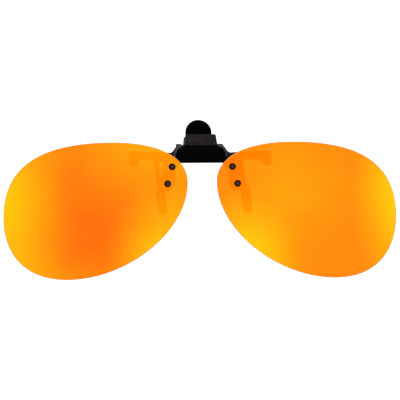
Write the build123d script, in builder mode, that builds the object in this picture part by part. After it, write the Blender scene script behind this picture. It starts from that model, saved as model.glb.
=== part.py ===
"""Flip-up clip-on sunglasses: two mirrored lenses on a hinged carrier, held by a sprung clamp.

Frame, in millimetres: +X to the wearer's left, +Y back towards the wearer, +Z up. The origin is on
the mid plane, at the grip plane of the closed jaws, level with the bottom edge of the carrier bar.
"""
import os
from math import cos, radians, sin, sqrt

from build123d import *

os.makedirs("parts", exist_ok=True)

# ---------------------------------------------------------------- driving dimensions
SIDES = {"left": 1, "right": -1}

# lens: one spherical shell, cut to a rounded pilot outline, given by its four outermost points and by
# how full the quarter between each two is: first at its flat end, then at its upright end
lens_nose = (5.0, -6.5)
lens_top = (31.0, 7.2)
lens_outer = (68.0, -18.5)
lens_bottom = (46.5, -39.8)
lens_quarters = [(lens_top, lens_outer, 0.65, 0.7), (lens_bottom, lens_outer, 0.65, 0.6),
                 (lens_bottom, lens_nose, 0.5, 0.5), (lens_top, lens_nose, 0.6, 0.65)]
lens_thickness = 1.0
lens_radius = 130.0
shell_depth = 14.0
lens_front_y = -10.1
lens_centre_x = 25.57
lens_centre_z = -15.2
lens_rim_bevel = 0.15
cut_start_y = -11.1

# rivets that hold each lens on its wing
rivet_points = [(10.4, -1.28), (12.06, -7.09)]
rivet_names = ["upper", "lower"]
rivet_shank_r = 0.7
rivet_hole_r = 0.75
rivet_head_r = 1.2
rivet_head_height = 0.75
rivet_dome_r = 0.68
washer_r = 1.3
washer_gap = 0.3
cap_r = 1.15
cap_height = 0.9
cap_dome_r = 0.5
cap_grip = 0.54
seat_play = 0.01

# carrier: a bar with a hinge barrel, and a curved wing behind each lens
wing_thickness = 1.4
wing_upper_r = 2.3
wing_upper_shift = 0.6
wing_lower_r = 2.45
wing_root_x = 8.0
wing_root_z = 1.2
wing_root_width = 1.2
wing_root_height = 2.0
bar_half_width = 8.5
bar_height = 5.75
bar_corner_r = 3.1
bar_front_y = -6.5
bar_web = 1.9
bar_top_r = 1.5
bar_bevel_x = 1.5
bar_bevel_y = 1.1
barrel_r = 2.05
cut_height = 12.0

# flip hinge: an axle through the bar, held in two lugs of the front jaw
flip_y = -4.7
flip_z = 3.7
flip_axle_r = 0.5
flip_axle_half_length = 7.9
flip_play = 0.04
axle_bevel = 0.12
lug_x = 4.6
lug_width = 1.4
lug_eye_r = 1.15
lug_neck = 1.8
lug_side_play = 0.15
lug_turn_play = 0.2
slot_reach = 6.0

# front jaw: backing plate, two hooked arms, and the front finger block
jaw_outline = [(0, 0.5), (8.4, 0.5), (9.2, 1.2), (21.3, 1.2), (21.6, -0.8), (24.3, -0.8), (24.9, 3.9),
               (22.0, 4.25), (10.2, 3.65), (9.5, 4.1), (8.5, 5.5), (8.1, 5.9), (5.6, 5.9), (5.6, 6.6),
               (0, 6.6)]
plate_back_y = -0.9
plate_thickness = 1.4
hook_corner_r = 0.6
pad_thickness = 0.7
pad_width = 2.3
pad_corner_r = 0.6
pad_height = 3.4
pad_x = 23.35
pad_z = 1.65
block_profile = [(-5.2, 6.1), (-5.2, 6.8), (-4.9, 6.8), (-3.8, 9.95), (-2.2, 9.95), (-0.9, 6.1)]
block_bottom_z = 6.1
block_top_z = 9.95
block_half_bottom = 5.65
block_half_top = 5.2
block_corner_r = 0.6

# raised lip of the front jaw, round the ends of the carrier bar
lip_bottom_z = 0.6
lip_inner_half = 8.65
lip_inner_top = 5.9
lip_inner_r = 3.25
lip_width = 0.6
lip_height = 1.0
lip_root = 0.6
lip_bevel = 0.25
lip_half_gap = 5.0

# clamp hinge: an axle across two ears of the front jaw
clamp_y = 1.2
clamp_z = 4.4
clamp_axle_r = 0.7
clamp_play = 0.05
ear_x = 6.3
ear_width = 1.7
ear_r = 2.35
ear_web_height = 3.6
axle_head_r = 1.15
axle_head_height = 0.4

# rear jaw: knuckles, rounded thumb tab, crossbar and two sleeved legs
knuckle_half_width = 6.1
knuckle_r = 1.75
tab_lean = 18.0
tab_thickness = 1.5
tab_front = 0.28
tab_foot = -1.0
tab_shoulder_bottom = 5.9
tab_shoulder_half = 5.2
tab_shoulder_top = 4.9
tab_dome_r = 4.56
tab_dome_centre = 6.7
tab_edge_r = 0.5
crossbar_y = 4.5
crossbar_z = 2.05
crossbar_thickness = 1.4
crossbar_height = 2.9
crossbar_corner_r = 0.4
web_thickness = 1.4
web_top = (2.3, 3.9)
web_bottom = (4.5, 2.8)
leg_x = 14.74
leg_width = 1.55
leg_thickness = 1.0
leg_route = [(4.5, 2.0), (4.5, -3.6), (1.2, -7.6), (1.2, -17.0)]
leg_bend_r = 2.0
sleeve_width = 3.3
sleeve_thickness = 2.0
sleeve_top_z = -8.6
sleeve_bottom_z = -17.75
sleeve_corner_r = 1.2
sleeve_edge_r = 0.45
leg_slant = 6.5
leg_slant_z = 1.0

# torsion spring between the jaws
wire_r = 0.25
coil_r = 1.1
coil_pitch = 0.62
coil_turns = 5
spring_room_half = 2.1
spring_room_r = 1.8
front_leg_lean = 45.0
front_leg_length = 4.8
rear_leg_lean = 25.5
rear_leg_length = 4.0

# ---------------------------------------------------------------- shared geometry
sphere_y = lens_front_y + lens_radius
lens_back_radius = lens_radius - lens_thickness
wing_front_radius = lens_back_radius - washer_gap
wing_back_radius = wing_front_radius - wing_thickness


def facing(y):
    """The plane at depth y that looks forward, with its own x to +X and its own y up."""
    return Plane.XZ.offset(-y)


def rivet_plane(side, x, z):
    """The plane on the front of a lens at a rivet, with its normal pointing out of the lens."""
    away = sqrt(lens_radius**2 - (x - lens_centre_x) ** 2 - (z - lens_centre_z) ** 2)
    seat = Vector(side * x, sphere_y - away, z)
    centre = Vector(side * lens_centre_x, sphere_y, lens_centre_z)
    return Plane(origin=seat, x_dir=(1, 0, 0), z_dir=seat - centre)


# ---------------------------------------------------------------- lenses
for name, side in SIDES.items():
    with BuildPart() as lens:
        with BuildSketch(facing(cut_start_y)):
            with BuildLine():
                for flat, upright, flat_fullness, upright_fullness in lens_quarters:
                    flat_handle = (flat[0] + (upright[0] - flat[0]) * flat_fullness, flat[1])
                    upright_handle = (upright[0], upright[1] + (flat[1] - upright[1]) * upright_fullness)
                    corners = [flat, flat_handle, upright_handle, upright]
                    Bezier(*[(side * x, z) for x, z in corners])
            make_face()
        extrude(amount=-shell_depth)
        with Locations((side * lens_centre_x, sphere_y, lens_centre_z)):
            Sphere(lens_radius, mode=Mode.INTERSECT)
            Sphere(lens_back_radius, mode=Mode.SUBTRACT)
        rims = lens.faces().filter_by(GeomType.SPHERE).edges()
        chamfer(rims, length=lens_rim_bevel)
        for x, z in rivet_points:
            with Locations(rivet_plane(side, x, z)):
                Hole(rivet_hole_r, depth=lens_thickness * 2)
    lens.part.label = f"lens_{name}"
    export_step(lens.part, f"parts/lens_{name}.step")

# ---------------------------------------------------------------- rivets, washers and caps
washer_front = -lens_thickness - seat_play
wing_front = -lens_thickness - washer_gap
washer_thickness = washer_front - wing_front - seat_play
wing_back = wing_front - wing_thickness
cap_front = wing_back - seat_play
shank_end = cap_front - cap_grip

for name, side in SIDES.items():
    for level, (x, z) in zip(rivet_names, rivet_points):
        seat = rivet_plane(side, x, z)
        outward = Axis(seat.origin, seat.z_dir)

        with BuildPart(seat) as rivet:
            Cylinder(rivet_head_r, rivet_head_height, align=(Align.CENTER, Align.CENTER, Align.MIN))
            fillet(rivet.edges().sort_by(outward)[-1], radius=rivet_dome_r)
            Cylinder(rivet_shank_r, -shank_end, align=(Align.CENTER, Align.CENTER, Align.MAX))
        rivet.part.label = f"rivet_{level}_{name}"
        export_step(rivet.part, f"parts/rivet_{level}_{name}.step")

        with BuildPart(seat.offset(washer_front)) as washer:
            Cylinder(washer_r, washer_thickness, align=(Align.CENTER, Align.CENTER, Align.MAX))
            Hole(rivet_hole_r, depth=washer_thickness)
        washer.part.label = f"washer_{level}_{name}"
        export_step(washer.part, f"parts/washer_{level}_{name}.step")

        with BuildPart(seat.offset(cap_front)) as cap:
            Cylinder(cap_r, cap_height, align=(Align.CENTER, Align.CENTER, Align.MAX))
            fillet(cap.edges().sort_by(outward)[0], radius=cap_dome_r)
            Hole(rivet_shank_r, depth=cap_front - shank_end)
        cap.part.label = f"cap_{level}_{name}"
        export_step(cap.part, f"parts/cap_{level}_{name}.step")

# ---------------------------------------------------------------- lens carrier
# bar: side profile drawn out sideways, then trimmed to its front outline
with BuildPart() as bar:
    with BuildSketch(Plane.YZ):
        with Locations((bar_front_y + bar_top_r, bar_height - bar_top_r)):
            Circle(bar_top_r)
        with Locations((bar_front_y, 0)):
            Rectangle(bar_web, flip_z, align=(Align.MIN, Align.MIN))
        make_hull()
        with Locations((flip_y, flip_z)):
            Circle(barrel_r)
        with Locations((bar_front_y, 0)):
            Rectangle(barrel_r, cut_height, align=(Align.MAX, Align.MIN), mode=Mode.SUBTRACT)
    extrude(amount=bar_half_width, both=True)
    with BuildSketch(facing(0)):
        Rectangle(bar_half_width * 2, bar_height, align=(Align.CENTER, Align.MIN))
        top_corners = vertices().group_by(Axis.Y)[-1]
        fillet(top_corners, radius=bar_corner_r)
    extrude(amount=shell_depth, mode=Mode.INTERSECT)
    with BuildSketch(Plane.XY):
        with BuildLine():
            Polyline((bar_half_width - bar_bevel_x, bar_front_y),
                     (bar_half_width, bar_front_y + bar_bevel_y),
                     (bar_half_width, bar_front_y), close=True)
        make_face()
        mirror(about=Plane.YZ)
    extrude(amount=bar_height, mode=Mode.SUBTRACT)

# wing: a patch of a shell that follows the back of the left lens, round both of its rivets
with BuildPart() as wing:
    with BuildSketch(facing(cut_start_y)):
        with Locations((rivet_points[0][0] + wing_upper_shift, rivet_points[0][1])):
            upper = Circle(wing_upper_r)
        with Locations((wing_root_x, wing_root_z)):
            Rectangle(wing_root_width, wing_root_height)
        make_hull()
        with Locations(rivet_points[1]):
            lower = Circle(wing_lower_r)
        make_hull(upper.edges() + lower.edges())
    extrude(amount=-shell_depth)
    with Locations((lens_centre_x, sphere_y, lens_centre_z)):
        Sphere(wing_front_radius, mode=Mode.INTERSECT)
        Sphere(wing_back_radius, mode=Mode.SUBTRACT)
    for x, z in rivet_points:
        with Locations(rivet_plane(1, x, z)):
            Hole(rivet_hole_r, depth=wing_thickness * 2)

with BuildPart() as lens_carrier:
    add(wing.part)
    mirror(about=Plane.YZ)
    add(bar.part)
    # a slot for each lug, open to the back and the top so that the bar can turn round it
    with BuildSketch(Plane.YZ.offset(lug_x - lug_side_play)):
        with Locations((flip_y, flip_z)):
            Circle(lug_eye_r + lug_turn_play)
        slot_corner = lug_neck / 2 + lug_turn_play
        with Locations((flip_y - slot_corner, flip_z - slot_corner)):
            Rectangle(slot_reach, slot_reach, align=(Align.MIN, Align.MIN))
    slot = extrude(amount=lug_width + lug_side_play * 2, mode=Mode.SUBTRACT)
    mirror(slot, about=Plane.YZ, mode=Mode.SUBTRACT)
    with BuildSketch(Plane.YZ):
        with Locations((flip_y, flip_z)):
            Circle(flip_axle_r + flip_play)
    extrude(amount=bar_half_width, both=True, mode=Mode.SUBTRACT)
lens_carrier.part.label = "lens_carrier"
export_step(lens_carrier.part, "parts/lens_carrier.step")

with BuildPart() as flip_axle:
    with BuildSketch(Plane.YZ):
        with Locations((flip_y, flip_z)):
            Circle(flip_axle_r)
    extrude(amount=flip_axle_half_length, both=True)
    chamfer(flip_axle.edges().filter_by(GeomType.CIRCLE), length=axle_bevel)
flip_axle.part.label = "flip_axle"
export_step(flip_axle.part, "parts/flip_axle.step")

# ---------------------------------------------------------------- front jaw
# finger block: a side profile drawn out sideways, then trimmed to a tapered front outline
with BuildPart() as finger_block:
    with BuildSketch(Plane.YZ):
        with BuildLine():
            Polyline(block_profile, close=True)
        make_face()
    extrude(amount=block_half_bottom, both=True)
    with BuildSketch(facing(0)):
        with BuildLine():
            Polyline((-block_half_bottom, block_bottom_z), (block_half_bottom, block_bottom_z),
                     (block_half_top, block_top_z), (-block_half_top, block_top_z), close=True)
        make_face()
        fillet(vertices().group_by(Axis.Y)[-1], radius=block_corner_r)
    extrude(amount=shell_depth, mode=Mode.INTERSECT)

# lip: two rounded corners raised from the plate, just outside the ends of the bar
lip_root_y = plate_back_y - plate_thickness + lip_root
with BuildPart() as bar_lip:
    with BuildSketch(facing(lip_root_y)):
        with Locations((0, lip_bottom_z)):
            lip_rise = lip_inner_top + lip_width - lip_bottom_z
            Rectangle((lip_inner_half + lip_width) * 2, lip_rise, align=(Align.CENTER, Align.MIN))
        fillet(vertices().group_by(Axis.Y)[-1], radius=lip_inner_r + lip_width)
    extrude(amount=lip_root + lip_height)
    chamfer(bar_lip.faces().sort_by(Axis.Y)[0].edges(), length=lip_bevel)
    with BuildSketch(facing(lip_root_y)):
        Rectangle(lip_inner_half * 2, lip_inner_top, align=(Align.CENTER, Align.MIN))
        fillet(vertices().group_by(Axis.Y)[-1], radius=lip_inner_r)
        Rectangle(lip_half_gap * 2, cut_height)
    extrude(amount=lip_root + lip_height, mode=Mode.SUBTRACT)

with BuildPart() as front_jaw:
    with BuildSketch(facing(plate_back_y)):
        with BuildLine():
            Polyline(jaw_outline, close=True)
        make_face()
        tip_corners = vertices().group_by(Axis.X)[-1] + vertices().group_by(Axis.Y)[0]
        fillet(tip_corners, radius=hook_corner_r)
    extrude(amount=plate_thickness)
    # ears round the clamp axle
    with BuildSketch(Plane.YZ.offset(ear_x)):
        with Locations((clamp_y, clamp_z)):
            Circle(ear_r)
        with Locations((plate_back_y - plate_thickness / 2, clamp_z)):
            Rectangle(plate_thickness, ear_web_height)
        make_hull()
    extrude(amount=ear_width)
    # lugs round the flip axle
    with BuildSketch(Plane.YZ.offset(lug_x)):
        with Locations((flip_y, flip_z)):
            Circle(lug_eye_r)
            lug_length = plate_back_y - plate_thickness / 2 - flip_y
            Rectangle(lug_length, lug_neck, align=(Align.MIN, Align.CENTER))
    extrude(amount=lug_width)
    mirror(about=Plane.YZ)
    add(finger_block.part)
    add(bar_lip.part)
    with BuildSketch(Plane.YZ):
        with Locations((flip_y, flip_z)):
            Circle(flip_axle_r)
    extrude(amount=bar_half_width, both=True, mode=Mode.SUBTRACT)
    with BuildSketch(Plane.YZ):
        with Locations((clamp_y, clamp_z)):
            Circle(clamp_axle_r)
    extrude(amount=bar_half_width, both=True, mode=Mode.SUBTRACT)
front_jaw.part.label = "front_jaw"
export_step(front_jaw.part, "parts/front_jaw.step")

for name, side in SIDES.items():
    with BuildPart() as hook_pad:
        with BuildSketch(facing(plate_back_y)):
            with Locations((side * pad_x, pad_z)):
                RectangleRounded(pad_width, pad_height, pad_corner_r)
        extrude(amount=-pad_thickness)
    hook_pad.part.label = f"hook_pad_{name}"
    export_step(hook_pad.part, f"parts/hook_pad_{name}.step")

with BuildPart() as clamp_axle:
    ear_outside = ear_x + ear_width
    with BuildSketch(Plane.YZ):
        with Locations((clamp_y, clamp_z)):
            Circle(clamp_axle_r)
    extrude(amount=ear_outside, both=True)
    with BuildSketch(Plane.YZ.offset(ear_outside), Plane.YZ.offset(-ear_outside - axle_head_height)):
        with Locations((clamp_y, clamp_z)):
            Circle(axle_head_r)
    extrude(amount=axle_head_height)
    ends = clamp_axle.faces().filter_by(Axis.X)
    chamfer(ends.sort_by(Axis.X)[0].edges() + ends.sort_by(Axis.X)[-1].edges(), length=axle_bevel)
clamp_axle.part.label = "clamp_axle"
export_step(clamp_axle.part, "parts/clamp_axle.step")

# ---------------------------------------------------------------- rear jaw
lean_cos = cos(radians(tab_lean))
lean_sin = sin(radians(tab_lean))
tab_face = Plane(origin=(0, clamp_y - tab_front * lean_cos, clamp_z + tab_front * lean_sin),
                 x_dir=(1, 0, 0), z_dir=(0, -lean_cos, lean_sin))

# thumb tab: square shoulders below, a round end above, leaning back from the axle
with BuildPart() as thumb_tab:
    with BuildSketch(tab_face):
        with BuildLine():
            Polyline((-tab_shoulder_bottom, tab_foot), (tab_shoulder_bottom, tab_foot),
                     (tab_shoulder_half, tab_shoulder_top), (-tab_shoulder_half, tab_shoulder_top),
                     close=True)
        make_face()
        Rectangle(tab_dome_r * 2, tab_dome_centre, align=(Align.CENTER, Align.MIN))
        with Locations((0, tab_dome_centre)):
            Circle(tab_dome_r)
    extrude(amount=-tab_thickness)
    front_and_back = thumb_tab.faces().sort_by(Axis(tab_face.origin, tab_face.z_dir))
    fillet(front_and_back[0].edges() + front_and_back[-1].edges(), radius=tab_edge_r)

# leg and sleeve: made upright on the mid plane, then set out to each side and slanted
leg_places = {}
for name, side in SIDES.items():
    swing = Pos(side * leg_x, 0, leg_slant_z) * Rot(0, -leg_slant, 0)
    leg_places[name] = swing * Pos(0, 0, -leg_slant_z)

with BuildPart() as leg:
    with BuildSketch(Plane.YZ):
        with BuildLine():
            FilletPolyline(leg_route, radius=leg_bend_r)
        trace(line_width=leg_thickness)
    extrude(amount=leg_width / 2, both=True)

with BuildPart() as sleeve:
    with BuildSketch(facing(leg_route[-1][0] + sleeve_thickness / 2)):
        with Locations((0, sleeve_bottom_z)):
            sleeve_height = sleeve_top_z - sleeve_bottom_z
            Rectangle(sleeve_width, sleeve_height, align=(Align.CENTER, Align.MIN))
        fillet(vertices().group_by(Axis.Y)[0], radius=sleeve_corner_r)
        fillet(vertices().group_by(Axis.Y)[-1], radius=sleeve_edge_r)
    extrude(amount=sleeve_thickness)
    front_and_back = sleeve.faces().filter_by(Axis.Y)
    fillet(front_and_back.edges(), radius=sleeve_edge_r)
    add(leg.part, mode=Mode.SUBTRACT)

with BuildPart() as rear_jaw:
    with BuildSketch(Plane.YZ):
        with Locations((clamp_y, clamp_z)):
            Circle(knuckle_r)
    extrude(amount=knuckle_half_width, both=True)
    add(thumb_tab.part)
    # web from the knuckles down to the crossbar
    with BuildSketch(Plane.YZ):
        with Locations(web_top, web_bottom):
            Circle(web_thickness / 2)
        make_hull()
    extrude(amount=tab_shoulder_half, both=True)
    with BuildSketch(Plane.YZ):
        with Locations((crossbar_y, crossbar_z)):
            RectangleRounded(crossbar_thickness, crossbar_height, crossbar_corner_r)
    extrude(amount=leg_x + leg_width / 2, both=True)
    with Locations(*leg_places.values()):
        add(leg.part)
    # room for the spring, and the axle's running hole
    with BuildSketch(Plane.YZ):
        with Locations((clamp_y, clamp_z)):
            Circle(spring_room_r)
    extrude(amount=spring_room_half, both=True, mode=Mode.SUBTRACT)
    with BuildSketch(Plane.YZ):
        with Locations((clamp_y, clamp_z)):
            Circle(clamp_axle_r + clamp_play)
    extrude(amount=knuckle_half_width, both=True, mode=Mode.SUBTRACT)
rear_jaw.part.label = "rear_jaw"
export_step(rear_jaw.part, "parts/rear_jaw.step")

for name, place in leg_places.items():
    with BuildPart() as placed_sleeve:
        with Locations(place):
            add(sleeve.part)
    placed_sleeve.part.label = f"leg_sleeve_{name}"
    export_step(placed_sleeve.part, f"parts/leg_sleeve_{name}.step")

# ---------------------------------------------------------------- torsion spring
# both legs leave the coil near its top: the first leans back to the thumb tab, the last leans
# forward to the finger block
first_angle = 180 - rear_leg_lean
last_angle = front_leg_lean + 360 * coil_turns
coil_length = coil_pitch * (last_angle - first_angle) / 360
coil_start = Plane(origin=(-coil_length / 2, clamp_y, clamp_z), z_dir=(1, 0, 0),
                   x_dir=(0, cos(radians(first_angle)), sin(radians(first_angle))))
coil_path = coil_start.location * Helix(coil_pitch, coil_length, coil_r)

with BuildPart() as torsion_spring:
    with BuildSketch(Plane(origin=coil_path @ 0, z_dir=coil_path % 0)):
        Circle(wire_r)
    sweep(path=coil_path, is_frenet=True)
    for foot, lean, length in ((coil_path @ 0, rear_leg_lean, rear_leg_length),
                               (coil_path @ 1, -front_leg_lean, front_leg_length)):
        with BuildSketch(Plane(origin=foot, z_dir=(0, sin(radians(lean)), cos(radians(lean))))):
            Circle(wire_r)
        extrude(amount=length)
        with Locations(foot):
            Sphere(wire_r)
torsion_spring.part.label = "torsion_spring"
export_step(torsion_spring.part, "parts/torsion_spring.step")
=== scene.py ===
"""The looks of the flip-up clip-on sunglasses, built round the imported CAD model. Everything is in metres."""
from math import cos, pi, radians, sin, sqrt, tau

import bmesh
import bpy
import numpy as np
from mathutils import Matrix, Vector


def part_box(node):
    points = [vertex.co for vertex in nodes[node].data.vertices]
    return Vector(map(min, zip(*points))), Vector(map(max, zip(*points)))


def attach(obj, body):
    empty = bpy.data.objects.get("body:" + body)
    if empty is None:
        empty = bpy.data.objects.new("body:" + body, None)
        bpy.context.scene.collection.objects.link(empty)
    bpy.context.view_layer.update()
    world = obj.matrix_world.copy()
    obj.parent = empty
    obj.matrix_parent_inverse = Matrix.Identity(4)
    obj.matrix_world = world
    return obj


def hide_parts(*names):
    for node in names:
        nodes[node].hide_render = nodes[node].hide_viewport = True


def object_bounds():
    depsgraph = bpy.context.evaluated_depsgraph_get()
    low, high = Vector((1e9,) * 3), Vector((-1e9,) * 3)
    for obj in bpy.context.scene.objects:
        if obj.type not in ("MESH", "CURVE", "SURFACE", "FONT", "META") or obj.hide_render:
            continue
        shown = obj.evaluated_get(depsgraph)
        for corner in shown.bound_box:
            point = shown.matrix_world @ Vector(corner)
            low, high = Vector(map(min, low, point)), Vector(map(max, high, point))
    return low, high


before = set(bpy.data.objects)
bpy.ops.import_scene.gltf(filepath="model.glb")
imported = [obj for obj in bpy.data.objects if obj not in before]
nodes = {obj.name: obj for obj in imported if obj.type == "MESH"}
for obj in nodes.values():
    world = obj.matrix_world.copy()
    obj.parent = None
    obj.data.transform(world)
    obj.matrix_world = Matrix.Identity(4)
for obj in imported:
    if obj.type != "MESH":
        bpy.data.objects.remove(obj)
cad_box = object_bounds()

MM = 0.001
scene = bpy.context.scene
SIDES = {"left": 1, "right": -1}

# ---------------------------------------------------------------- the lens's own sizes, as in the CAD
LENS_RADIUS = 130 * MM
LENS_THICKNESS = 1.0 * MM
LENS_CENTRE_X = 25.57 * MM
LENS_CENTRE_Z = -15.2 * MM
LENS_FRONT_Y = min(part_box("lens_left")[0].y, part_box("lens_right")[0].y)
LENS_RIM_RADIUS = 0.18 * MM
RIM_STEPS = 4
LENS_SEGMENTS = 288
LENS_RINGS = 26
HOLE_RADIUS = 0.75 * MM


# ---------------------------------------------------------------- small helpers
def link(obj):
    scene.collection.objects.link(obj)
    return obj


def shader(name):
    """A new material with one Principled shader; returns (material, node tree, shader node)."""
    mat = bpy.data.materials.new(name)
    mat.use_nodes = True
    tree = mat.node_tree
    return mat, tree, tree.nodes["Principled BSDF"]


def add_node(tree, kind, **values):
    """A new node; its values are attributes, or inputs where the name is one."""
    node = tree.nodes.new(kind)
    for key, value in values.items():
        if key in node.inputs:
            node.inputs[key].default_value = value
        else:
            setattr(node, key, value)
    return node


def noise(tree, size, detail=3.0, stretch=(1, 1, 1)):
    """Noise fixed to the object, with features of about that size in metres."""
    place = add_node(tree, "ShaderNodeTexCoord")
    mapping = add_node(tree, "ShaderNodeMapping", Scale=stretch)
    texture = add_node(tree, "ShaderNodeTexNoise", Scale=1 / size, Detail=detail)
    tree.links.new(place.outputs["Object"], mapping.inputs["Vector"])
    tree.links.new(mapping.outputs["Vector"], texture.inputs["Vector"])
    return texture.outputs["Fac"]


def ramp(tree, source, stops):
    """A colour ramp from a list of (position, colour)."""
    node = add_node(tree, "ShaderNodeValToRGB")
    points = node.color_ramp.elements
    while len(points) < len(stops):
        points.new(0.5)
    for point, (position, colour) in zip(points, stops):
        point.position = position
        point.color = (*colour, 1)
    tree.links.new(source, node.inputs["Fac"])
    return node.outputs["Color"]


def spread(tree, source, low, high):
    """Maps noise, which stays near its middle, to the range from low to high."""
    node = add_node(tree, "ShaderNodeMapRange")
    node.inputs["From Min"].default_value = 0.3
    node.inputs["From Max"].default_value = 0.7
    node.inputs["To Min"].default_value = low
    node.inputs["To Max"].default_value = high
    tree.links.new(source, node.inputs["Value"])
    return node.outputs["Result"]


def bump(tree, bsdf, height, depth, strength=1.0):
    node = add_node(tree, "ShaderNodeBump", Strength=strength, Distance=depth)
    tree.links.new(height, node.inputs["Height"])
    tree.links.new(node.outputs["Normal"], bsdf.inputs["Normal"])


def glow_patch(tree, point, x, z, width, height, amount):
    """A soft round patch on the lens, amount at its middle and nothing at its edge."""
    shift = add_node(tree, "ShaderNodeVectorMath", operation="SUBTRACT")
    shift.inputs[1].default_value = (x, 0, z)
    scale = add_node(tree, "ShaderNodeVectorMath", operation="MULTIPLY")
    scale.inputs[1].default_value = (1 / width, 0, 1 / height)
    length = add_node(tree, "ShaderNodeVectorMath", operation="LENGTH")
    fall = add_node(tree, "ShaderNodeMapRange", interpolation_type="SMOOTHSTEP")
    fall.inputs["From Min"].default_value = 0.0
    fall.inputs["From Max"].default_value = 1.0
    fall.inputs["To Min"].default_value = amount
    fall.inputs["To Max"].default_value = 0.0
    tree.links.new(point, shift.inputs[0])
    tree.links.new(shift.outputs[0], scale.inputs[0])
    tree.links.new(scale.outputs[0], length.inputs[0])
    tree.links.new(length.outputs["Value"], fall.inputs["Value"])
    return fall.outputs["Result"]


def total(tree, sources, base):
    """base plus every source."""
    value = None
    for source in sources:
        node = add_node(tree, "ShaderNodeMath", operation="ADD")
        tree.links.new(source, node.inputs[0])
        if value is None:
            node.inputs[1].default_value = base
        else:
            tree.links.new(value, node.inputs[1])
        value = node.outputs[0]
    return value


# ---------------------------------------------------------------- materials of the small parts
def moulded(name, colour, rough, specular, grain, depth):
    """Moulded plastic: slightly uneven colour and gloss, with a fine moulded grain."""
    mat, tree, bsdf = shader(name)
    cloud = noise(tree, 2.2 * MM)
    dark, light = [tuple(c * k for c in colour) for k in (0.8, 1.25)]
    tree.links.new(ramp(tree, cloud, [(0.3, dark), (0.7, light)]), bsdf.inputs["Base Color"])
    tree.links.new(spread(tree, noise(tree, 0.7 * MM), rough * 0.85, rough * 1.15), bsdf.inputs["Roughness"])
    bsdf.inputs["Specular IOR Level"].default_value = specular
    bump(tree, bsdf, noise(tree, grain, detail=2.0), depth)
    return mat


def axis_mask(tree, axis, start, end, mirrored=False):
    """Nothing before start along an object axis and one after end; mirrored measures from the middle."""
    place = add_node(tree, "ShaderNodeTexCoord")
    split = add_node(tree, "ShaderNodeSeparateXYZ")
    tree.links.new(place.outputs["Object"], split.inputs[0])
    value = split.outputs[axis]
    if mirrored:
        distance = add_node(tree, "ShaderNodeMath", operation="ABSOLUTE")
        tree.links.new(value, distance.inputs[0])
        value = distance.outputs[0]
    node = add_node(tree, "ShaderNodeMapRange", interpolation_type="SMOOTHSTEP")
    node.inputs["From Min"].default_value = start
    node.inputs["From Max"].default_value = end
    tree.links.new(value, node.inputs["Value"])
    return node.outputs["Result"]


def tint_more(tree, bsdf, masks, colour):
    """Adds a colour to the base colour where every mask is one."""
    amount = masks[0]
    for mask in masks[1:]:
        both = add_node(tree, "ShaderNodeMath", operation="MULTIPLY")
        tree.links.new(amount, both.inputs[0])
        tree.links.new(mask, both.inputs[1])
        amount = both.outputs[0]
    mix = add_node(tree, "ShaderNodeMix", data_type="RGBA", blend_type="ADD")
    old = bsdf.inputs["Base Color"].links[0].from_socket
    tree.links.new(amount, mix.inputs["Factor"])
    tree.links.new(old, mix.inputs[6])
    mix.inputs[7].default_value = (*colour, 1)
    tree.links.new(mix.outputs[2], bsdf.inputs["Base Color"])


def jaw_plastic(name):
    """The front jaw: a warm grey block, ears painted paler as a painted highlight on their bevels, and a paler
    lip round the bar, also a painted highlight.
    """
    mat = moulded(name, (0.0105, 0.0088, 0.0085), 0.55, 0.02, 0.1 * MM, 0.004 * MM)
    tree = mat.node_tree
    bsdf = tree.nodes["Principled BSDF"]
    highlight_ears_mask = axis_mask(tree, "X", 5.7 * MM, 6.1 * MM, mirrored=True)
    # Painted highlight: everything beyond the block's sides, the ears among them, is painted paler, as if its
    # bevels caught the side lights.
    tint_more(tree, bsdf, [highlight_ears_mask], (0.008, 0.008, 0.0078))
    highlight_lip_mask = axis_mask(tree, "Y", -2.4 * MM, -2.7 * MM)
    # Painted highlight: the raised lip round the bar's ends is painted paler still, standing in for light on
    # its chamfer.
    tint_more(tree, bsdf, [highlight_ears_mask, highlight_lip_mask], (0.035, 0.032, 0.034))
    return mat


def rivet_plastic(name):
    """Gloss black, with the flat middle of each head painted grey: a painted highlight."""
    mat = moulded(name, (0.001, 0.001, 0.001), 0.22, 0.03, 0.2 * MM, 0.001 * MM)
    tree = mat.node_tree
    place = add_node(tree, "ShaderNodeTexCoord")
    painted_highlights = []
    for side in SIDES:
        for level in ("upper", "lower"):
            low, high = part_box(f"rivet_{level}_{side}")
            middle = (low + high) / 2
            painted_highlights.append(glow_patch(tree, place.outputs["Object"], middle.x, middle.z,
                                   1.0 * MM, 1.0 * MM, 1.0))
    amount = total(tree, painted_highlights, 0.0)
    # Painted highlight: a grey spot on the middle of each rivet head.
    tint_more(tree, tree.nodes["Principled BSDF"], [amount], (0.04, 0.026, 0.026))
    return mat


def metal(name, colour, rough, stretch):
    """Drawn steel: fine lines along the wire or pin."""
    mat, tree, bsdf = shader(name)
    lines = noise(tree, 0.12 * MM, detail=4.0, stretch=stretch)
    dark, light = [tuple(c * k for c in colour) for k in (0.75, 1.1)]
    tree.links.new(ramp(tree, lines, [(0.3, dark), (0.7, light)]), bsdf.inputs["Base Color"])
    tree.links.new(spread(tree, lines, rough * 0.8, rough * 1.25), bsdf.inputs["Roughness"])
    bsdf.inputs["Metallic"].default_value = 1.0
    bump(tree, bsdf, lines, 0.004 * MM, strength=0.5)
    return mat


def soft_rubber(name, colour):
    """Matte silicone with a dusty sheen."""
    mat, tree, bsdf = shader(name)
    cloud = noise(tree, 1.5 * MM)
    dark, light = [tuple(c * k for c in colour) for k in (0.8, 1.3)]
    tree.links.new(ramp(tree, cloud, [(0.3, dark), (0.7, light)]), bsdf.inputs["Base Color"])
    tree.links.new(spread(tree, noise(tree, 0.4 * MM), 0.55, 0.75), bsdf.inputs["Roughness"])
    bsdf.inputs["Specular IOR Level"].default_value = 0.25
    bsdf.inputs["Sheen Weight"].default_value = 0.08
    bump(tree, bsdf, noise(tree, 0.09 * MM, detail=2.0), 0.008 * MM)
    return mat


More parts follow.
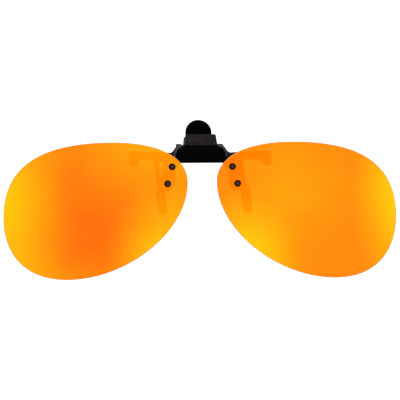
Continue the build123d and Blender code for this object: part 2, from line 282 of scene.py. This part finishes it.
def clear_plastic(name):
    """Clear washer: mostly see-through, with a glossy skin."""
    mat, tree, bsdf = shader(name)
    tint = ramp(tree, noise(tree, 0.6 * MM), [(0.3, (0.78, 0.78, 0.74)), (0.7, (0.95, 0.95, 0.92))])
    tree.links.new(tint, bsdf.inputs["Base Color"])
    tree.links.new(spread(tree, noise(tree, 0.3 * MM), 0.08, 0.16), bsdf.inputs["Roughness"])
    bsdf.inputs["Alpha"].default_value = 0.35
    return mat


looks = {
    "carrier": moulded("gloss_black_bar", (0.0006, 0.0006, 0.0006), 0.3, 0.006, 0.12 * MM, 0.002 * MM),
    "tab": moulded("satin_black_tab", (0.0003, 0.0003, 0.0003), 0.4, 0.003, 0.1 * MM, 0.003 * MM),
    "jaw": jaw_plastic("satin_grey_black_jaw"),
    "rivet": rivet_plastic("gloss_black_rivet"),
    "pin": metal("steel_pin", (0.5, 0.5, 0.51), 0.3, (1, 8, 8)),
    "spring": metal("spring_wire", (0.42, 0.42, 0.43), 0.28, (3, 3, 3)),
    "rubber": soft_rubber("black_silicone", (0.02, 0.02, 0.021)),
    "washer": clear_plastic("clear_washer"),
}

look_of = {"lens_carrier": "carrier", "front_jaw": "jaw", "rear_jaw": "tab", "flip_axle": "pin",
           "clamp_axle": "pin", "torsion_spring": "spring"}
for name in nodes:
    for start, look in (("rivet_", "rivet"), ("cap_", "rivet"), ("washer_", "washer"),
                        ("hook_pad_", "rubber"), ("leg_sleeve_", "rubber")):
        if name.startswith(start):
            look_of[name] = look
for name, look in look_of.items():
    mesh = nodes[name].data
    mesh.materials.clear()
    mesh.materials.append(looks[look])


# ---------------------------------------------------------------- lens materials
COAT_BLUE = 0.001
COAT_CLOUD = 0.012
SEE_THROUGH = 0.3


def mirror_coat(name, patches, base, see_through, tint):
    """The front of a lens: a metallic coating over a see-through body. In the patches its green is raised, so
    it is more yellow: painted reflections of brighter light."""
    mat, tree, bsdf = shader(name)
    place = add_node(tree, "ShaderNodeTexCoord")
    # Painted reflections: the patches raise the green where brighter light would be reflected.
    green = total(tree, [glow_patch(tree, place.outputs["Object"], *p) for p in patches], base)
    cloud = spread(tree, noise(tree, 11 * MM, detail=2.5), -COAT_CLOUD, COAT_CLOUD)
    green = total(tree, [green, cloud], 0.0)
    colour = add_node(tree, "ShaderNodeCombineColor", Red=1.0, Blue=COAT_BLUE)
    tree.links.new(green, colour.inputs["Green"])
    tree.links.new(colour.outputs["Color"], bsdf.inputs["Base Color"])
    tree.links.new(spread(tree, noise(tree, 9 * MM), 0.1, 0.14), bsdf.inputs["Roughness"])
    bsdf.inputs["Metallic"].default_value = 1.0
    clear = add_node(tree, "ShaderNodeBsdfTransparent", Color=(*tint, 1))
    mix = add_node(tree, "ShaderNodeMixShader", Fac=see_through)
    tree.links.new(bsdf.outputs[0], mix.inputs[1])
    tree.links.new(clear.outputs[0], mix.inputs[2])
    tree.links.new(mix.outputs[0], tree.nodes["Material Output"].inputs["Surface"])
    return mat


def tinted_back(name, colour, see_through, tint):
    """The wearer's side of a lens: dark glossy plastic, partly see-through."""
    mat, tree, bsdf = shader(name)
    cloud = noise(tree, 14 * MM)
    dark, light = [tuple(c * k for c in colour) for k in (0.85, 1.15)]
    tree.links.new(ramp(tree, cloud, [(0.3, dark), (0.7, light)]), bsdf.inputs["Base Color"])
    tree.links.new(spread(tree, noise(tree, 9 * MM), 0.05, 0.09), bsdf.inputs["Roughness"])
    clear = add_node(tree, "ShaderNodeBsdfTransparent", Color=(*tint, 1))
    mix = add_node(tree, "ShaderNodeMixShader", Fac=see_through)
    tree.links.new(bsdf.outputs[0], mix.inputs[1])
    tree.links.new(clear.outputs[0], mix.inputs[2])
    tree.links.new(mix.outputs[0], tree.nodes["Material Output"].inputs["Surface"])
    return mat


def cut_edge(name):
    """The polished rim of a lens, a deeper orange than its face."""
    mat, tree, bsdf = shader(name)
    tint = ramp(tree, noise(tree, 3 * MM), [(0.3, (0.26, 0.11, 0.03)), (0.7, (0.36, 0.16, 0.05))])
    tree.links.new(tint, bsdf.inputs["Base Color"])
    tree.links.new(spread(tree, noise(tree, 0.5 * MM), 0.15, 0.28), bsdf.inputs["Roughness"])
    return mat


# Painted reflections on each lens: patches where the coating is painted greener, so yellower, standing in for
# brighter reflected light. For each: how far the middle is from the nose edge to the outer edge, how far from
# the bottom to the top, half the width and half the height, all as parts of the lens's own width and height,
# then how much greener the middle is.
painted_reflection_patches = {
    "right": [(1.1, 0.5, 0.55, 1.5, 0.45),  # a tall patch down the outer edge
              (0.1, 0.1, 0.4, 0.7, 0.45),   # low on the nose side
              (0.1, 1.1, 0.8, 0.8, 0.25),   # a broad weak one along the top
              (0.7, -0.2, 0.5, 0.5, 0.15)],  # a weak one at the bottom
    "left": [(0.15, 0.1, 0.35, 0.6, 0.4),   # low on the nose side
             (1.1, 0.6, 0.4, 0.9, 0.4),     # the outer edge
             (0.4, 0.6, 0.4, 0.6, 0.08)],   # a lighter middle
}
coat_base = {"right": 0.1, "left": 0.2}
body_tint = (0.95, 0.5, 0.04)
edge_look = cut_edge("lens_cut_edge")
back_look = tinted_back("lens_smoke_back", (0.035, 0.022, 0.016), 0.55, (0.8, 0.62, 0.42))


# ---------------------------------------------------------------- lenses
def lens_sphere(side):
    return Vector((side * LENS_CENTRE_X, LENS_FRONT_Y + LENS_RADIUS, LENS_CENTRE_Z))


def outline(node, count):
    """The node's outline seen from the front, as count points round its middle. It is convex."""
    flat = np.unique(np.array([(v.co.x, v.co.z) for v in node.data.vertices]), axis=0)
    middle = (flat.min(0) + flat.max(0)) / 2
    chain = []
    for points in (flat, flat[::-1]):
        half = []
        for p in points:
            while len(half) > 1 and np.cross(half[-1] - half[-2], p - half[-1]) <= 0:
                half.pop()
            half.append(p)
        chain += half[:-1]
    hull = np.array(chain) - middle
    angle = np.arctan2(hull[:, 1], hull[:, 0])
    order = np.argsort(angle)
    angle, hull = angle[order], hull[order]
    wanted = np.linspace(-pi, pi, count, endpoint=False)
    found = [np.interp(wanted, angle, hull[:, axis], period=tau) for axis in (0, 1)]
    return middle, np.stack(found, axis=1)


def lens_mesh(name, side):
    """A shell between two spheres with rounded rims, from the CAD lens's own outline."""
    middle, rim = outline(nodes[name], LENS_SEGMENTS)
    ahead = np.roll(rim, -1, axis=0) - np.roll(rim, 1, axis=0)
    inward = np.stack([-ahead[:, 1], ahead[:, 0]], axis=1)
    inward /= np.linalg.norm(inward, axis=1)[:, None]
    centre = lens_sphere(side)

    def depth(x, z, radius):
        return centre.y - sqrt(radius**2 - (x - centre.x) ** 2 - (z - centre.z) ** 2)

    mesh = bmesh.new()

    def ring(flat, below):
        """One ring of vertices, below the front surface by that much."""
        made = []
        for x, z in flat + middle:
            made.append(mesh.verts.new((x, depth(x, z, LENS_RADIUS - below), z)))
        return made

    def join(first, second, slot):
        for i in range(len(first)):
            j = (i + 1) % len(first)
            mesh.faces.new((first[i], first[j], second[j], second[i])).material_index = slot

    # share of the way out to the rim's inner edge, closer together near the rim
    shares = [sin(pi / 2 * k / LENS_RINGS) for k in range(1, LENS_RINGS + 1)]
    face_edge = rim + inward * LENS_RIM_RADIUS
    rings = {}
    for slot, below in ((0, 0.0), (1, LENS_THICKNESS)):
        hub = mesh.verts.new((middle[0], depth(*middle, LENS_RADIUS - below), middle[1]))
        rings[slot] = [ring(face_edge * share, below) for share in shares]
        for i in range(LENS_SEGMENTS):
            j = (i + 1) % LENS_SEGMENTS
            mesh.faces.new((hub, rings[slot][0][i], rings[slot][0][j])).material_index = slot
        for first, second in zip(rings[slot], rings[slot][1:]):
            join(first, second, slot)
    last = rings[0][-1]
    turns = [pi / 2 * k / RIM_STEPS for k in range(1, RIM_STEPS + 1)]
    round_off = [(sin(t), 1 - cos(t)) for t in turns]
    for out, down in round_off:
        step = ring(rim + inward * LENS_RIM_RADIUS * (1 - out), LENS_RIM_RADIUS * down)
        join(last, step, 2)
        last = step
    for out, down in round_off[::-1][1:] + [(0.0, 0.0)]:
        below = LENS_THICKNESS - LENS_RIM_RADIUS * down
        step = ring(rim + inward * LENS_RIM_RADIUS * (1 - out), below) if out else rings[1][-1]
        join(last, step, 2)
        last = step
    bmesh.ops.recalc_face_normals(mesh, faces=mesh.faces)
    data = bpy.data.meshes.new(name + "_shell")
    mesh.to_mesh(data)
    mesh.free()
    return data


def rivet_axis(name):
    """Where a rivet sits and which way it points, from its CAD mesh."""
    points = np.array([v.co for v in nodes[name].data.vertices])
    middle = points.mean(0)
    along = np.linalg.svd(points - middle)[2][0]
    return Vector(middle), Vector(along)


def hole_cutter(name):
    """A long cylinder down a rivet's axis, for the hole that its shank goes through."""
    middle, along = rivet_axis(name)
    mesh = bmesh.new()
    bmesh.ops.create_cone(mesh, cap_ends=True, segments=48, radius1=HOLE_RADIUS, radius2=HOLE_RADIUS,
                          depth=20 * MM)
    mesh.transform(Matrix.Translation(middle) @ along.to_track_quat("Z", "Y").to_matrix().to_4x4())
    data = bpy.data.meshes.new("cutter")
    mesh.to_mesh(data)
    mesh.free()
    return link(bpy.data.objects.new("cutter", data))


def baked(obj):
    """obj with its modifiers applied to its mesh."""
    depsgraph = bpy.context.evaluated_depsgraph_get()
    data = bpy.data.meshes.new_from_object(obj.evaluated_get(depsgraph))
    obj.modifiers.clear()
    obj.data = data
    return obj


def true_normals(data, centre):
    """Both faces of a lens get a sphere's exact normals, so that they reflect without ripples."""
    data.shade_smooth()
    wanted = [(0.0, 0.0, 0.0)] * len(data.loops)
    for face in data.polygons:
        if face.material_index > 1:
            continue
        outward = 1 if face.material_index == 0 else -1
        for k in face.loop_indices:
            away = (data.vertices[data.loops[k].vertex_index].co - centre).normalized()
            wanted[k] = tuple(away * outward)
    data.normals_split_custom_set(wanted)


def lens_patch(node_name, side, across, up, half_width, half_height, amount):
    """A patch given in parts of the lens's width and height, as glow_patch takes it, in metres."""
    low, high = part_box(node_name)
    width, height = high.x - low.x, high.z - low.z
    nose = low.x if side > 0 else high.x
    return (nose + side * across * width, low.z + up * height, half_width * width, half_height * height,
            amount)


for name, side in SIDES.items():
    node_name = f"lens_{name}"
    data = lens_mesh(node_name, side)
    patches = [lens_patch(node_name, side, *patch) for patch in painted_reflection_patches[name]]
    coat_look = mirror_coat(f"mirror_coat_{name}", patches, coat_base[name], SEE_THROUGH, body_tint)
    for look in (coat_look, back_look, edge_look):
        data.materials.append(look)
    lens = link(bpy.data.objects.new(f"mirror_lens_{name}", data))
    cutters = [hole_cutter(f"rivet_{level}_{name}") for level in ("upper", "lower")]
    for cutter in cutters:
        hole = lens.modifiers.new("hole", "BOOLEAN")
        hole.operation = "DIFFERENCE"
        hole.solver = "EXACT"
        hole.object = cutter
    baked(lens)
    for cutter in cutters:
        bpy.data.objects.remove(cutter)
    true_normals(lens.data, lens_sphere(side))
    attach(lens, "lens_flip")
    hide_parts(node_name)

# ---------------------------------------------------------------- floor, light and camera
FLOOR_DROP = 1.3
FLOOR_SIZE = 60.0
SKY_STRENGTH = 1.45


def floor_look():
    mat, tree, bsdf = shader("pale_floor")
    tree.links.new(ramp(tree, noise(tree, 0.4), [(0.3, (0.92, 0.92, 0.92)), (0.7, (0.95, 0.95, 0.95))]),
                   bsdf.inputs["Base Color"])
    bsdf.inputs["Roughness"].default_value = 0.9
    return mat


floor_mesh = bmesh.new()
bmesh.ops.create_grid(floor_mesh, x_segments=4, y_segments=4, size=FLOOR_SIZE / 2)
floor_data = bpy.data.meshes.new("floor")
floor_mesh.to_mesh(floor_data)
floor_mesh.free()
floor_data.materials.append(floor_look())
floor = link(bpy.data.objects.new("floor", floor_data))
floor.location.z = -FLOOR_DROP

world = bpy.data.worlds.new("studio")
scene.world = world
world.use_nodes = True
world.node_tree.nodes["Background"].inputs["Color"].default_value = (1, 1, 1, 1)
world.node_tree.nodes["Background"].inputs["Strength"].default_value = SKY_STRENGTH
scene.view_settings.view_transform = "Standard"

target = (cad_box[0] + cad_box[1]) / 2


def from_angles(azimuth, elevation, distance):
    """A point round the object. Azimuth 0 is in front of it and 90 at +X."""
    a, e = radians(azimuth), radians(elevation)
    return target + Vector((sin(a) * cos(e), -cos(a) * cos(e), sin(e))) * distance


def softbox(name, azimuth, elevation, distance, width, height, radiance):
    """A rectangular light that faces the object."""
    data = bpy.data.lights.new(name, "AREA")
    data.shape = "RECTANGLE"
    data.size = width
    data.size_y = height
    data.energy = radiance * width * height * pi
    light = link(bpy.data.objects.new(name, data))
    light.location = from_angles(azimuth, elevation, distance)
    light.rotation_euler = (light.location - target).to_track_quat("Z", "Y").to_euler()
    return light


softbox("top_front", 0, 52, 1.6, 1.0, 0.7, 3.0)
softbox("left_side", -95, 25, 1.6, 0.5, 1.0, 3.0)
softbox("right_side", 95, 25, 1.6, 0.5, 1.0, 2.0)
softbox("top_back", 180, 55, 1.6, 1.0, 0.6, 3.0)

CAMERA_AZIMUTH = -6.0
CAMERA_ROLL = -0.4
CAMERA_DISTANCE = 1.2
FRAME_WIDTH = 138 * MM
LOOK_AT = Vector((0, 0, -12.7 * MM))

camera_data = bpy.data.cameras.new("camera")
camera_data.sensor_width = 36
camera_data.lens = camera_data.sensor_width * CAMERA_DISTANCE / FRAME_WIDTH
camera_data.clip_start = 0.05
camera_data.clip_end = 100
camera = link(bpy.data.objects.new("camera", camera_data))
yaw = radians(CAMERA_AZIMUTH)
back = Vector((sin(yaw), -cos(yaw), 0))
level = Vector((cos(yaw), sin(yaw), 0))
roll = radians(CAMERA_ROLL)
right = level * cos(roll) + Vector((0, 0, 1)) * sin(roll)
up = back.cross(right)
turn = Matrix((right, up, back)).transposed().to_4x4()
camera.matrix_world = Matrix.Translation(LOOK_AT + back * CAMERA_DISTANCE) @ turn
scene.camera = camera
